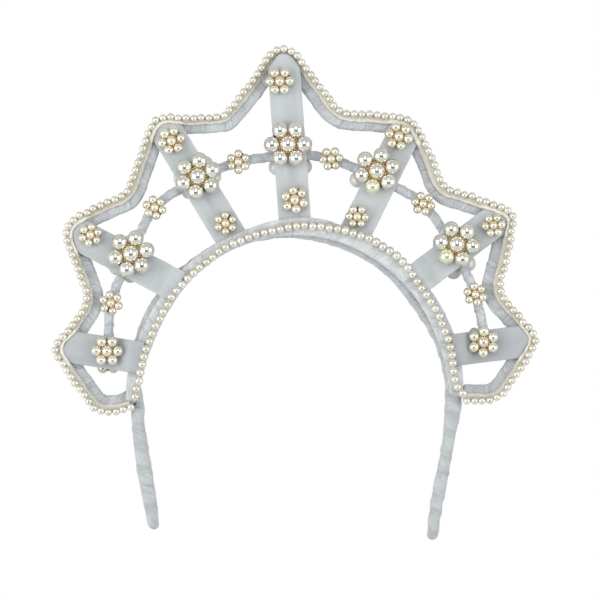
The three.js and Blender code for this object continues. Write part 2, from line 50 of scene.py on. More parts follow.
# Driving sizes, as in the solids.
ARCH_CENTRE = np.array((2.893, -43.328))
ARCH_RADIUS = 76
CROWN_REACH = 169.3
LEG_DROP = 78.2
RIM_WIDTH = 7.8
RIM_PEARL = 3.95
ARCH_PEARL = 4.35
BAR_WIDTH = 15.8
BAND_WIDTH = 6.1
WIRE_WIDTH = 4.7
TAPE_EDGE = 0.4

# The rim's corners: reach is a share of CROWN_REACH, and round, bow and deep are of RIM_WIDTH.
# tape is how far inwards from the pearls the tape reaches, in millimetres.
RIM_COLUMNS = ("degrees", "reach", "round", "bow", "deep", "tape")
RIM_TABLE = {
    "left_end": (188.6, 0.513, 0, 0.073, 1.026, 3.2),
    "left_corner": (188.8, 0.596, 1.295, 0.044, 1, 3.4),
    "peak1": (172.5, 0.725, 1.077, -0.078, 0.962, 3.3),
    "dip12": (159.1, 0.653, 1.679, -0.01, 0.987, 2.8),
    "peak2": (146.9, 0.832, 1.513, 0.053, 0.987, 3.2),
    "dip23": (132.6, 0.741, 1.295, 0.001, 1.038, 3.8),
    "peak3": (119.1, 0.877, 1.282, -0.088, 0.974, 3.4),
    "dip34": (106.2, 0.8, 0.462, -0.097, 0.923, 2.9),
    "peak4": (92.9, 1, 1.346, -0.004, 1.051, 3.3),
    "dip45": (81.9, 0.786, 1.628, 0.01, 1.051, 3.4),
    "peak5": (67, 0.831, 1.795, 0.073, 0.987, 4.1),
    "dip56": (53.8, 0.696, 1.436, 0.046, 0.987, 4.1),
    "peak6": (38.3, 0.792, 0.949, 0.06, 1.051, 3.2),
    "dip67": (24.5, 0.625, 1.59, 0.023, 1.077, 3.2),
    "peak7": (10.4, 0.698, 0.987, 0.041, 0.962, 2.7),
    "right_corner": (-5.4, 0.576, 1.795, -0.004, 0.974, 3.3),
    "right_end": (-6.3, 0.483, 0, 0, 1, 3.3),
}
RIM = {name: dict(zip(RIM_COLUMNS, row)) for name, row in RIM_TABLE.items()}

# The arch from right to left: degrees, then the string of pearls and the front strip's inner
# and outer edge as shares of ARCH_RADIUS.
ARCH_COLUMNS = ("degrees", "pearl", "inner", "outer")
ARCH = [
    (-5.2, 1.055, 0.965, 1.04),
    (-3, 1.03, 0.955, 1.042),
    (1, 0.988, 0.945, 1.045),
    (12, 0.99, 0.925, 1.04),
    (26, 0.985, 0.913, 1.028),
    (38, 0.985, 0.914, 1.022),
    (50, 1.015, 0.916, 1.024),
    (62, 1.022, 0.922, 1.022),
    (72, 1.019, 0.93, 1.028),
    (81, 1.011, 0.938, 1.056),
    (92, 1.004, 0.945, 1.06),
    (104, 0.993, 0.95, 1.05),
    (116, 0.994, 0.957, 1.039),
    (127, 0.984, 0.963, 1.052),
    (140, 0.99, 0.966, 1.06),
    (155, 0.998, 0.97, 1.068),
    (165, 1.012, 0.983, 1.085),
    (172, 1.027, 1.003, 1.1),
    (178, 1.035, 1.02, 1.12),
    (182.5, 1.06, 1.035, 1.128),
    (186.3, 1.078, 1.052, 1.132),
]
ARCH_DEGREES = [row[0] for row in ARCH]

# The hair band's arch from right to left: degrees, reach as a share of ARCH_RADIUS.
BAND_ARCH = [
    (0, 0.967), (12, 0.945), (26, 0.916), (50, 0.919), (70, 0.935), (90, 0.965),
    (105, 0.987), (120, 1.01), (140, 1.042), (155, 1.061), (168, 1.072), (177, 1.082),
]
# The legs from tip to arch: drop as a share of LEG_DROP, across of ARCH_RADIUS, width of
# BAND_WIDTH, and lift, how far up the band's height it lies.
RIGHT_LEG = [
    (1, 0.851, 0.8, 0), (0.97, 0.854, 0.92, 0.02), (0.815, 0.872, 1, 0.15), (0.677, 0.898, 1.07, 0.32),
    (0.457, 0.94, 0.96, 0.62), (0.32, 0.961, 1.04, 0.8), (0.16, 0.983, 1.4, 1), (0.09, 0.981, 1.3, 1),
]
LEFT_LEG = [
    (0.934, -0.95, 0.8, 0), (0.9, -0.957, 0.92, 0.03), (0.802, -0.972, 1.06, 0.14),
    (0.583, -1.01, 1.24, 0.44), (0.42, -1.033, 1.17, 0.68), (0.244, -1.056, 1, 0.92),
    (0.18, -1.054, 1.13, 1), (0.09, -1.068, 1.1, 1),
]
# The cross wire from right to left: degrees, reach as a share of ARCH_RADIUS.
CROSS_WIRE = [
    (12.3, 1.2), (14.6, 1.222), (26.7, 1.258), (40.6, 1.308), (55.6, 1.393), (68.9, 1.399),
    (82.3, 1.452), (92.8, 1.462), (105.9, 1.475), (117.5, 1.465), (130, 1.468), (145.4, 1.363),
    (157.4, 1.328), (169, 1.267), (171.2, 1.25),
]
# The bars: the degrees of the axis at the arch and at its peak, the millimetres over which its
# tip is rounded, and how much painted shade its satin gets at its foot and its tip.
BARS = {
    1: dict(foot=171.3, tip=171.4, blunt=7, dull=(0.42, 0.42)),
    2: dict(foot=142.2, tip=146.9, blunt=4, dull=(0.05, 0.15)),
    3: dict(foot=115.6, tip=118.4, blunt=4, dull=(0.08, 0)),
    4: dict(foot=92.1, tip=93.2, blunt=1.5, dull=(0, 0.08)),
    5: dict(foot=70.2, tip=67.2, blunt=3, dull=(0, 0.1)),
    6: dict(foot=41.5, tip=39.5, blunt=3, dull=(0, 0.05)),
    7: dict(foot=11.9, tip=10.1, blunt=4, dull=(0.6, 0.42)),
}
# The bars whose feet are drawn over the front strip, and those whose tips the tape passes over.
OVER_STRIP = (1, 2, 6, 7)
UNDER_STRIP = (3, 4, 5)
UNDER_TAPE = (1, 2, 3, 5, 6, 7)
# Lengthwise creases in the bars' satin: shares of the bar's length, and of its half width.
CREASES = {
    3: dict(start=0.1, end=0.42, aside_start=-0.38, aside_end=0.15, width=0.16),
    4: dict(start=0.16, end=0.38, aside_start=0.12, aside_end=0.02, width=0.1),
}
# The flowers by kind and number: the degrees of one petal, and those of the gap that the wire's
# end sticks out of. Two flowers have a petal that is tinted green.
FLOWERS = {
    "large_flower": {2: (14, 224), 3: (25, -65), 4: (0, 150), 5: (15, -75), 6: (51, 81)},
    "medium_flower": {1: (0, 90), 7: (27, -123)},
    "tip_flower": {2: (19, 169), 3: (15, 45), 4: (0, 30), 5: (45, -105), 6: (5, 35)},
    "base_flower": {3: (30, 60), 4: (41, 71), 5: (-3, 87)},
    "wire_flower": {12: (40, -110), 23: (42, -48), 34: (30, 60), 45: (5, -85), 56: (46, 196), 67: (41, 191)},
    "back_flower": {1: (0, -90), 2: (30, 0), 3: (0, 30), 4: (30, 60), 5: (0, 30), 6: (30, 60), 7: (27, 57)},
}
TINTED = {"large_flower_5": 4, "large_flower_6": 3}


def low_high(node):
    low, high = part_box(node)
    return low[2] / MM, high[2] / MM


def polar(degrees, reach):
    angle = math.radians(degrees)
    return np.array((math.cos(angle) * reach, math.sin(angle) * reach))


def right_of(v):
    """The direction to the right of a direction in the plane, or of each row of directions."""
    return np.stack((v[..., 1], -v[..., 0]), axis=-1)


def unit(v):
    return v / np.linalg.norm(v)


def lengths(rows):
    return np.linalg.norm(rows, axis=1)[:, None]


def headings(line):
    """Unit directions along a line of points."""
    steps = np.gradient(line, axis=0)
    return steps / lengths(steps)


def crossing(a, u, b, v):
    """Where the line through a along u meets the line through b along v."""
    t = ((b[0] - a[0]) * v[1] - (b[1] - a[1]) * v[0]) / (u[0] * v[1] - u[1] * v[0])
    return a + u * t


def smooth(x):
    x = np.clip(x, 0, 1)
    return x * x * (3 - 2 * x)


def ripple(x, seed, waves=4):
    """A smooth, seeded, random line through x: each wave is about one unit long or more."""
    rng = np.random.default_rng(seed)
    total = np.zeros_like(np.asarray(x, dtype=float))
    for _ in range(waves):
        total += np.sin(x * rng.uniform(1.5, 6.5) + rng.uniform(0, TURN))
    return total / waves


# Lines in the plane

RIM_ROWS = list(RIM.values())
RIM_CORNERS = [polar(row["degrees"], row["reach"] * CROWN_REACH) for row in RIM_ROWS]
RIM_SIDES = [unit(b - a) for a, b in zip(RIM_CORNERS, RIM_CORNERS[1:])]
CORNER_STEPS = 12
SIDE_STEPS = 12
LEAST_ROUND = 1.5
# How far the strip and tape, and the string of pearls, run on past the rim's first and last corner.
RIM_ENDS = (2.6, 2.2)
STRING_ENDS = (4.4, 2.0)


def corner_bend(i, corner, sides, depth):
    """Start, corner and end of the curve that rounds one corner, moved inwards by depth."""
    half = (math.pi - math.acos(float(np.dot(sides[i - 1], sides[i])))) / 2
    turn = sides[i - 1][0] * sides[i][1] - sides[i - 1][1] * sides[i][0]
    inwards = -depth if turn < 0 else depth
    reach = max(RIM_ROWS[i]["round"] * RIM_WIDTH + inwards, LEAST_ROUND) / math.tan(half)
    return corner - sides[i - 1] * reach, corner, corner + sides[i] * reach


def bend_point(bend, t):
    start, corner, end = bend
    return start * (1 - t) ** 2 + corner * 2 * t * (1 - t) + end * t * t


def rim_line(inset):
    """The rim's line of pearls moved inwards by inset(row) at each corner."""
    inward = [right_of(side) for side in RIM_SIDES]
    depth = [inset(row) for row in RIM_ROWS]
    side_depth = [(a + b) / 2 for a, b in zip(depth, depth[1:])]
    origin = [RIM_CORNERS[i] + inward[i] * side_depth[i] for i in range(len(RIM_SIDES))]
    corners = [origin[0]]
    for i in range(1, len(RIM_SIDES)):
        corners.append(crossing(origin[i - 1], RIM_SIDES[i - 1], origin[i], RIM_SIDES[i]))
    corners.append(RIM_CORNERS[-1] + inward[-1] * side_depth[-1])
    points = []
    start = corners[0]
    for i in range(1, len(corners)):
        last = i == len(corners) - 1
        bend = None if last else corner_bend(i, corners[i], RIM_SIDES, side_depth[i])
        end = corners[i] if last else bend[0]
        for k in range(0 if i == 1 else 1, SIDE_STEPS):
            share = k / SIDE_STEPS
            bow = RIM_ROWS[i - 1]["bow"] * RIM_WIDTH * 4 * share * (1 - share)
            points.append(start + (end - start) * share - inward[i - 1] * bow)
        if last:
            points.append(corners[i])
        else:
            points += [bend_point(bend, k / CORNER_STEPS) for k in range(CORNER_STEPS + 1)]
            start = bend[2]
    return np.array(points)


def spline(points, per_row):
    """A smooth line through points, with per_row samples to each."""
    points = np.array(points, dtype=float)
    padded = np.vstack((points[0], points, points[-1]))
    out = []
    for i in range(len(points) - 1):
        p0, p1, p2, p3 = padded[i:i + 4]
        for k in range(per_row):
            t = k / per_row
            v0 = (p2 - p0) * 0.5
            v1 = (p3 - p1) * 0.5
            curve = (2 * p1 - 2 * p2 + v0 + v1) * t**3 + (-3 * p1 + 3 * p2 - 2 * v0 - v1) * t**2
            out.append(curve + v0 * t + p1)
    out.append(points[-1])
    return np.array(out)


def reached_on(line, before, after):
    """The line made longer at its start and its end, straight on."""
    start = line[0] + unit(line[0] - line[1]) * before
    end = line[-1] + unit(line[-1] - line[-2]) * after
    return np.vstack((start, line, end))


def distances(line):
    return np.concatenate(((0,), np.cumsum(np.linalg.norm(np.diff(line, axis=0), axis=1))))


def sampled(arrays, step):
    """The arrays, one row to a point of a strip, taken every step millimetres along its middle."""
    middle = (arrays[0] + arrays[1]) / 2
    along = distances(middle)
    count = max(int(round(along[-1] / step)), 2)
    wanted = np.linspace(0, along[-1], count + 1)
    out = []
    for a in arrays:
        a = np.asarray(a, dtype=float)
        if a.ndim == 1:
            out.append(np.interp(wanted, along, a))
        else:
            out.append(np.stack([np.interp(wanted, along, a[:, c]) for c in range(a.shape[1])], axis=1))
    return wanted, out


def arch_line(column, per_row=8):
    k = ARCH_COLUMNS.index(column)
    return spline([polar(row[0], row[k] * ARCH_RADIUS) for row in ARCH], per_row)


def arch_reach(column, degrees):
    k = ARCH_COLUMNS.index(column)
    return np.interp(degrees, ARCH_DEGREES, [row[k] for row in ARCH]) * ARCH_RADIUS


# Meshes

def linked(name, data):
    """A new object in the scene."""
    made = bpy.data.objects.new(name, data)
    bpy.context.scene.collection.objects.link(made)
    return made


def new_object(name, points, faces, materials, uvs=None, tones=None, face_materials=None):
    """points are millimetres about the arch's centre; uvs are two numbers to each face corner."""
    placed = np.array(points, dtype=float)
    placed[:, :2] += ARCH_CENTRE
    mesh = bpy.data.meshes.new(name)
    mesh.from_pydata((placed * MM).tolist(), [], faces)
    mesh.shade_smooth()
    for material in materials:
        mesh.materials.append(material)
    if uvs is not None:
        uv_layer = mesh.uv_layers.new(name="millimetres")
        uv_layer.data.foreach_set("uv", np.asarray(uvs, dtype=float).ravel())
    if tones is not None:
        tone = mesh.attributes.new("tone", "FLOAT", "POINT")
        tone.data.foreach_set("value", np.asarray(tones, dtype=float))
    if face_materials is not None:
        mesh.polygons.foreach_set("material_index", face_materials)
    return linked(name, mesh)


def settle(piece, slot, *nodes):
    """The piece rides on the body and stands for the nodes, whose solids are hidden. slot is not used."""
    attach(piece, "root")
    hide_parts(*nodes)
    return piece


def tube_faces(rows, sides):
    """Faces of a closed tube of rings with flat ends, and each corner's row and column."""
    faces = []
    corners = []
    for i in range(rows - 1):
        for k in range(sides):
            n = (k + 1) % sides
            faces.append((i * sides + k, i * sides + n, (i + 1) * sides + n, (i + 1) * sides + k))
            corners += [(i, k), (i, k + 1), (i + 1, k + 1), (i + 1, k)]
    faces.append(tuple(range(sides - 1, -1, -1)))
    corners += [(0, k) for k in range(sides - 1, -1, -1)]
    faces.append(tuple((rows - 1) * sides + k for k in range(sides)))
    corners += [(rows - 1, k) for k in range(sides)]
    return faces, np.array(corners)


def signed_power(x, power):
    return np.sign(x) * np.abs(x) ** power


def superellipse(angles, squareness):
    """Points and outward directions of a rounded box: squareness 2 is an ellipse."""
    c, s = np.cos(angles), np.sin(angles)
    place = [signed_power(x, 2 / squareness) for x in (c, s)]
    outward = [signed_power(x, 2 - 2 / squareness) for x in (c, s)]
    return (*place, *outward)


def round_angles(sides):
    """Angles once round a strip from its underside, with the first again at the end."""
    return -math.pi / 2 + TURN * np.arange(sides + 1) / sides


def ring_points(middle, side, reach, rise):
    """A strip's rings: reach is how far each point is to the side of the middle, rise how high."""
    flat = middle[:, None, :] + side[:, None, :] * reach[:, :, None]
    return np.concatenate((flat, rise[:, :, None]), axis=2).reshape(-1, 3)


# How uneven a wound ribbon is: shares of its pitch or its fold, and waves in millimetres.
WANDER = 0.35
WANDER_WAVE = 9
FOLD_MEAN = 0.75
FOLD_CHANGE = 0.45
FOLD_WAVE = 5
LAYER_SLOPE = 1.3
RIDGE_HEIGHT = 0.3
RIDGE_COUNT = 1.7
RIDGE_DRIFT = 0.6
RIDGE_WAVE = 6
LUMP_WAVE = 7
INSET_ACROSS = 0.35
INSET_UP = 0.6
LEAST_TAPER = 0.03
# The share of each turn, next to its covered edge, that is darkened with painted shade.
SHADED_SHARE = 0.3


def wound_strip(name, arrays, material, look, seed):
    """Ribbon wound round a strip. arrays: left edge, right edge, low, high. look: its winding."""
    along, (left, right, low, high) = sampled(arrays, look["step"])
    sides = look["sides"]
    angles = round_angles(sides)
    across, up, out_across, out_up = superellipse(angles[None, :-1], look["squareness"])
    warped = along + ripple(along / WANDER_WAVE, seed) * WANDER * look["pitch"]
    winding = look["hand"] * (angles[None, :] + math.pi / 2) / TURN
    turns = warped[:, None] / look["pitch"] + winding
    share = turns - np.floor(turns)
    height = look["fold"] * (FOLD_MEAN + FOLD_CHANGE * ripple(along / FOLD_WAVE, seed + 1))[:, None]
    layer = height * (1 - share) ** LAYER_SLOPE
    drift = RIDGE_DRIFT * ripple(along / RIDGE_WAVE, seed + 2)[:, None]
    ridge = height * RIDGE_HEIGHT * np.sin(TURN * (share * RIDGE_COUNT + drift))
    lumps = look["lump"] * ripple(along / LUMP_WAVE, seed + 3)[:, None] * np.cos(angles + seed)[None, :]
    swell = (layer + ridge * np.sin(math.pi * share) + lumps)[:, :-1]
    middle = (left + right) / 2
    side = right - left
    half_width = lengths(side) / 2
    side = side / (2 * half_width)
    ends = np.clip(np.minimum(along, along[-1] - along) / look["end"], LEAST_TAPER, 1)
    taper = np.sqrt(np.clip(1 - (1 - ends) ** 2, 0, 1))[:, None]
    half_width = (half_width - look["fold"] * INSET_ACROSS) * taper
    half_height = ((high - low)[:, None] / 2 - look["fold"] * INSET_UP) * taper
    unit_out = np.hypot(out_across / half_width, out_up / half_height)
    push_across = out_across / half_width / unit_out * swell * taper
    push_up = out_up / half_height / unit_out * swell * taper
    rise = (high + low)[:, None] / 2 + up * half_height + push_up
    points = ring_points(middle, side, across * half_width + push_across, rise)
    faces, corners = tube_faces(len(along), sides)
    girth = 4 * (half_width.mean() + half_height.mean())
    texture_u = np.broadcast_to(angles / TURN * girth, turns.shape)
    grid = np.stack((texture_u, turns * look["pitch"]), axis=2)
    uvs = grid[corners[:, 0], corners[:, 1]]
    # Painted shade: each turn darkens towards its covered edge, where the next turn lies over it.
    tones = look["dark"] * np.clip((share[:, :-1] - (1 - SHADED_SHARE)) / SHADED_SHARE, 0, 1) ** 2
    return new_object(name, points, faces, [material], uvs, tones.ravel())


def unit_ball(segments, rings):
    """Points and faces of a ball of radius 1 about its poles in z."""
    points = [(0, 0, -1)]
    for i in range(1, rings):
        lean = math.pi * i / rings - math.pi / 2
        for k in range(segments):
            turn = TURN * k / segments
            points.append((math.cos(lean) * math.cos(turn), math.cos(lean) * math.sin(turn), math.sin(lean)))
    points.append((0, 0, 1))
    faces = []
    last = len(points) - 1
    for k in range(segments):
        n = (k + 1) % segments
        faces.append((0, 1 + n, 1 + k))
        for i in range(rings - 2):
            a = 1 + i * segments
            faces.append((a + k, a + n, a + segments + n, a + segments + k))
        a = 1 + (rings - 2) * segments
        faces.append((a + k, a + n, last))
    return np.array(points), faces


class Heap:
    """Gathers balls and tubes into one mesh. A kind is a number in the mesh's list of materials."""

    def __init__(self):
        self.points = []
        self.faces = []
        self.tones = []
        self.kinds = []
        self.count = 0

    def add(self, points, faces, tone, kind):
        self.points.append(points)
        self.faces += [tuple(i + self.count for i in face) for face in faces]
        self.tones.append(np.full(len(points), tone))
        self.kinds += [kind] * len(faces)
        self.count += len(points)

    def ball(self, centre, radii, tone, kind=0, ball=None, tilt=0.0):
        points, faces = ball or BALL
        c, s = math.cos(tilt), math.sin(tilt)
        x, y, z = (points * np.array(radii)).T
        turned = np.stack((x * c - y * s, x * s + y * c, z), axis=1)
        self.add(turned + np.array(centre), faces, tone, kind)

    def tube(self, line, radius, tone, kind, sides=6):
        line = np.array(line, dtype=float)
        heading = headings(line)
        side = np.cross(heading, NEARLY_UP)
        side /= lengths(side)
        up = np.cross(side, heading)
        angles = TURN * np.arange(sides) / sides
        c, s = np.cos(angles)[None, :, None], np.sin(angles)[None, :, None]
        ring = c * side[:, None, :] + s * up[:, None, :]
        points = line[:, None, :] + ring * radius
        self.add(points.reshape(-1, 3), tube_faces(len(line), sides)[0], tone, kind)

    def made(self, name, materials):
        points = np.concatenate(self.points)
        return new_object(name, points, self.faces, materials, None, np.concatenate(self.tones), self.kinds)


# No tube runs along this direction, so its sides can be turned from it.
NEARLY_UP = (0.0, 0.15, 1.0)
BALL = unit_ball(24, 14)
FINE_BALL = unit_ball(32, 18)
CRUMB = unit_ball(8, 6)


# Materials

def plug(tree, socket, value):
    """Sets a socket to a plain value, or links it to another socket."""
    if isinstance(value, bpy.types.NodeSocket):
        tree.links.new(value, socket)
    else:
        socket.default_value = value


def node(tree, kind, settings=None, **inputs):
    """A shader node with its settings, and its inputs given as values or sockets."""
    made = tree.nodes.new("ShaderNode" + kind)
    for key, value in (settings or {}).items():
        setattr(made, key, value)
    for key, value in inputs.items():
        plug(tree, made.inputs[key.replace("_", " ")], value)
    return made


def mixed(tree, factor, a, b):
    """Colour a at factor 0 and colour b at factor 1."""
    made = node(tree, "Mix", dict(data_type="RGBA"))
    for index, value in ((0, factor), (6, a), (7, b)):
        plug(tree, made.inputs[index], value)
    return made.outputs[2]


def math_node(tree, operation, a, b=0.0):
    made = node(tree, "Math", dict(operation=operation))
    for index, value in enumerate((a, b)):
        plug(tree, made.inputs[index], value)
    return made.outputs[0]


def times(tree, a, b):
    return math_node(tree, "MULTIPLY", a, b)


def remapped(tree, value, low, high, to_low=0.0, to_high=1.0):
    spans = dict(From_Min=low, From_Max=high, To_Min=to_low, To_Max=to_high)
    return node(tree, "MapRange", Value=value, **spans).outputs["Result"]


def texture_place(tree, across=None, along=None):
    """The texture's place on the mesh in millimetres, as it is or drawn out."""
    uv = node(tree, "UVMap", dict(uv_map="millimetres")).outputs["UV"]
    if across is None:
        return uv
    return node(tree, "Mapping", Vector=uv, Scale=(across, along, 1)).outputs["Vector"]


def tone_of(tree):
    return node(tree, "Attribute", dict(attribute_name="tone")).outputs["Fac"]


def noise(tree, place, scale, detail, roughness):
    made = node(tree, "TexNoise", Vector=place, Scale=scale, Detail=detail, Roughness=roughness)
    return made.outputs["Fac"]


def wave(tree, place, direction, scale, distortion):
    made = node(
        tree, "TexWave", dict(bands_direction=direction),
        Vector=place, Scale=scale, Distortion=distortion, Detail=1.0,
    )
    return made.outputs["Fac"]


def bumped(tree, height, strength, distance, under=None):
    """The normal of a bumpy surface, laid over another normal if one is given."""
    made = node(tree, "Bump", Height=height, Strength=strength, Distance=distance)
    if under is not None:
        tree.links.new(under, made.inputs["Normal"])
    return made.outputs["Normal"]


def rgb(*channels):
    """An sRGB colour of 0 to 255 as Blender's linear one."""
    shares = [channel / 255 for channel in channels]
    return (*(c / 12.92 if c <= 0.04045 else ((c + 0.055) / 1.055) ** 2.4 for c in shares), 1.0)


def new_material(name):
    material = bpy.data.materials.new(name)
    material.use_nodes = True
    tree = material.node_tree
    tree.nodes.clear()
    shader = node(tree, "BsdfPrincipled")
    output = node(tree, "OutputMaterial")
    tree.links.new(shader.outputs["BSDF"], output.inputs["Surface"])
    return material, tree, shader


def set_inputs(shader, **values):
    for key, value in values.items():
        shader.inputs[key.replace("_", " ")].default_value = value


def link_surface(tree, shader, colour, roughness, normal):
    for key, value in (("Base Color", colour), ("Roughness", roughness), ("Normal", normal)):
        tree.links.new(value, shader.inputs[key])


def ribbon_material(name, light, dark, seam_shade):
    """Satin ribbon. Its texture runs in millimetres: U along the ribbon, V across it."""
    material, tree, shader = new_material(name)
    pulls = noise(tree, texture_place(tree, 0.12, 1.1), 0.9, 4.0, 0.6)
    weave = noise(tree, texture_place(tree, 1.0, 6.0), 1.6, 2.0, 0.5)
    patches = noise(tree, texture_place(tree), 0.2, 4.0, 0.6)
    streaks = remapped(tree, pulls, 0.36, 0.62)
    blotch = remapped(tree, patches, 0.42, 0.64)
    colour = mixed(tree, streaks, dark, light)
    colour = mixed(tree, times(tree, blotch, 0.45), colour, rgb(182, 184, 194))
    # The tone attribute mixes in painted shade where one turn of ribbon lies under the next.
    colour = mixed(tree, times(tree, tone_of(tree), 0.45), colour, seam_shade)
    normal = bumped(tree, pulls, 0.9, 0.0011, bumped(tree, weave, 0.25, 0.0002))
    link_surface(tree, shader, colour, remapped(tree, streaks, 0, 1, 0.42, 0.58), normal)
    set_inputs(shader, Sheen_Weight=0.25, Sheen_Roughness=0.4, Specular_IOR_Level=0.4, Anisotropic=0.35)
    return material


def bar_material():
    """Smooth satin drawn lengthwise over a bar. U is millimetres across the bar, V along it."""
    material, tree, shader = new_material("bar satin")
    bands = noise(tree, texture_place(tree, 1.0, 0.12), 0.16, 2.0, 0.4)
    patches = noise(tree, texture_place(tree), 0.09, 2.0, 0.5)
    weave = noise(tree, texture_place(tree, 7.0, 1.2), 1.4, 2.0, 0.5)
    colour = mixed(tree, remapped(tree, bands, 0.35, 0.65), rgb(190, 196, 197), rgb(203, 209, 210))
    colour = mixed(tree, remapped(tree, patches, 0.3, 0.7, 0, 0.4), colour, rgb(196, 198, 202))
    # The tone attribute mixes in painted shade: along each bar and in its creases.
    colour = mixed(tree, times(tree, tone_of(tree), 0.8), colour, rgb(150, 152, 158))
    normal = bumped(tree, bands, 0.35, 0.0012, bumped(tree, weave, 0.2, 0.00015))
    link_surface(tree, shader, colour, remapped(tree, bands, 0.3, 0.7, 0.45, 0.56), normal)
    set_inputs(shader, Sheen_Weight=0.2, Sheen_Roughness=0.4, Specular_IOR_Level=0.4, Anisotropic=0.4)
    return material


def tape_material():
    """Matt woven tape, cream, turning tan towards its inner edge."""
    material, tree, shader = new_material("woven tape")
    uv = texture_place(tree)
    woven = times(tree, wave(tree, uv, "X", 0.55, 0.6), wave(tree, uv, "Y", 0.75, 0.6))
    groove_shade = remapped(tree, wave(tree, uv, "X", 0.15, 0.8), 0.5, 0.1, 0.0, 0.35)
    stained = remapped(tree, noise(tree, uv, 0.35, 3.0, 0.6), 0.5, 0.75, 0.0, 0.3)
    colour = mixed(tree, woven, rgb(240, 239, 229), rgb(249, 248, 241))
    # Painted shade along the grooves of the weave.
    colour = mixed(tree, groove_shade, colour, rgb(216, 211, 194))
    colour = mixed(tree, stained, colour, rgb(236, 228, 206))
    # The tone attribute turns the tape tan towards its inner edge.
    colour = mixed(tree, times(tree, tone_of(tree), 0.9), colour, rgb(200, 176, 140))
    roughness = remapped(tree, woven, 0, 1, 0.9, 0.75)
    link_surface(tree, shader, colour, roughness, bumped(tree, woven, 0.5, 0.0002))
    set_inputs(shader, Sheen_Weight=0.15, Sheen_Roughness=0.5, Specular_IOR_Level=0.3)
    return material


def pearl_material(name, light, dark, roughness, lustre, coat=2.0):
    """Lustrous coated bead. Each bead's tone shifts its colour a little."""
    material, tree, shader = new_material(name)
    place = node(tree, "TexCoord").outputs["Object"]
    clouds = noise(tree, place, 300.0, 2.0, 0.5)
    shift = math_node(tree, "ADD", tone_of(tree), remapped(tree, clouds, 0.3, 0.7, -0.12, 0.12))
    dulled = remapped(tree, clouds, 0.3, 0.7, roughness, roughness + 0.08)
    link_surface(tree, shader, mixed(tree, shift, dark, light), dulled, bumped(tree, clouds, 0.05, 0.0002))
    set_inputs(shader, Subsurface_Weight=0.12, Subsurface_Scale=1.0)
    set_inputs(shader, Subsurface_Radius=(0.0012, 0.001, 0.0007))
    set_inputs(shader, Metallic=lustre, IOR=1.7, Specular_IOR_Level=0.7)
    set_inputs(shader, Coat_Weight=1.0, Coat_Roughness=0.07, Coat_IOR=coat)
    return material


def thread_material(name, light, dark, roughness, metallic=0.0):
    """Wire, thread and dried glue, mottled from light to dark."""
    material, tree, shader = new_material(name)
    mottle = noise(tree, node(tree, "TexCoord").outputs["Object"], 900.0, 4.0, 0.65)
    spread = remapped(tree, mottle, 0.35, 0.65)
    worn = remapped(tree, spread, 0, 1, roughness, roughness + 0.2)
    link_surface(tree, shader, mixed(tree, spread, dark, light), worn, bumped(tree, mottle, 0.6, 0.0003))
    set_inputs(shader, Metallic=metallic, Specular_IOR_Level=0.5)
    return material


WRAP = ribbon_material("wound satin", rgb(223, 229, 230), rgb(194, 200, 204), rgb(148, 152, 158))
WIRE_WRAP = ribbon_material("wire satin", rgb(230, 235, 237), rgb(198, 203, 208), rgb(150, 154, 162))
# The front strip's satin is paler than the other ribbons, partly as painted light that offsets the shade of
# the pearls over it.
PALE_WRAP = ribbon_material("pale wound satin", rgb(238, 241, 240), rgb(216, 220, 221), rgb(172, 176, 180))
BAND_WRAP = ribbon_material("band satin", rgb(210, 215, 215), rgb(190, 195, 196), rgb(146, 150, 154))
BAR_SATIN = bar_material()
TAPE = tape_material()
CREAM = pearl_material("cream pearl", rgb(240, 236, 217), rgb(226, 217, 190), 0.12, 0.68)
STRUNG = pearl_material("strung pearl", rgb(236, 234, 221), rgb(220, 215, 196), 0.15, 0.54, 1.85)
WHITE = pearl_material("white pearl", rgb(238, 237, 226), rgb(226, 224, 208), 0.12, 0.76)
# A lighter, less lustrous copy of the white pearl for flowers under the bars: painted light that offsets
# their shade.
LIGHTENED_BACK_WHITE = pearl_material("lightened white pearl", rgb(244, 243, 237), rgb(236, 235, 228), 0.4, 0, 1.5)
GREENISH = pearl_material("greenish pearl", rgb(240, 242, 206), rgb(229, 232, 186), 0.16, 0.5)
AMBER = thread_material("amber wire", rgb(238, 208, 156), rgb(198, 156, 98), 0.25, 0.2)
TAN = thread_material("tan glue", rgb(224, 210, 160), rgb(198, 180, 118), 0.35)
BROWN = thread_material("brown thread", rgb(150, 134, 112), rgb(98, 84, 66), 0.6)
DARK = thread_material("dark wire", rgb(104, 96, 84), rgb(52, 44, 36), 0.4, 0.5)


# The bars' places

def bar_axis(bar):
    """Start, direction, direction to the left, and length of a bar's middle line."""
    row = BARS[bar]
    start = polar(row["foot"], ARCH_RADIUS)
    end = polar(row["tip"], RIM["peak%d" % bar]["reach"] * CROWN_REACH)
    length = float(np.linalg.norm(end - start))
    along = (end - start) / length
    return start, along, -right_of(along), length


def beside_bars(line, ease, shares, bars):
    """1 where the points lie within a bar's width and between two shares of its length, else 0."""
    cover = np.zeros(len(line))
    for bar in bars:
        start, along, left, length = bar_axis(bar)
        share = (line - start) @ along / length
        aside = np.abs((line - start) @ left)
        near = smooth((BAR_WIDTH / 2 + ease - aside) / ease) * (share > shares[0]) * (share < shares[1])
        cover = np.maximum(cover, near)
    return cover


# Wound strips

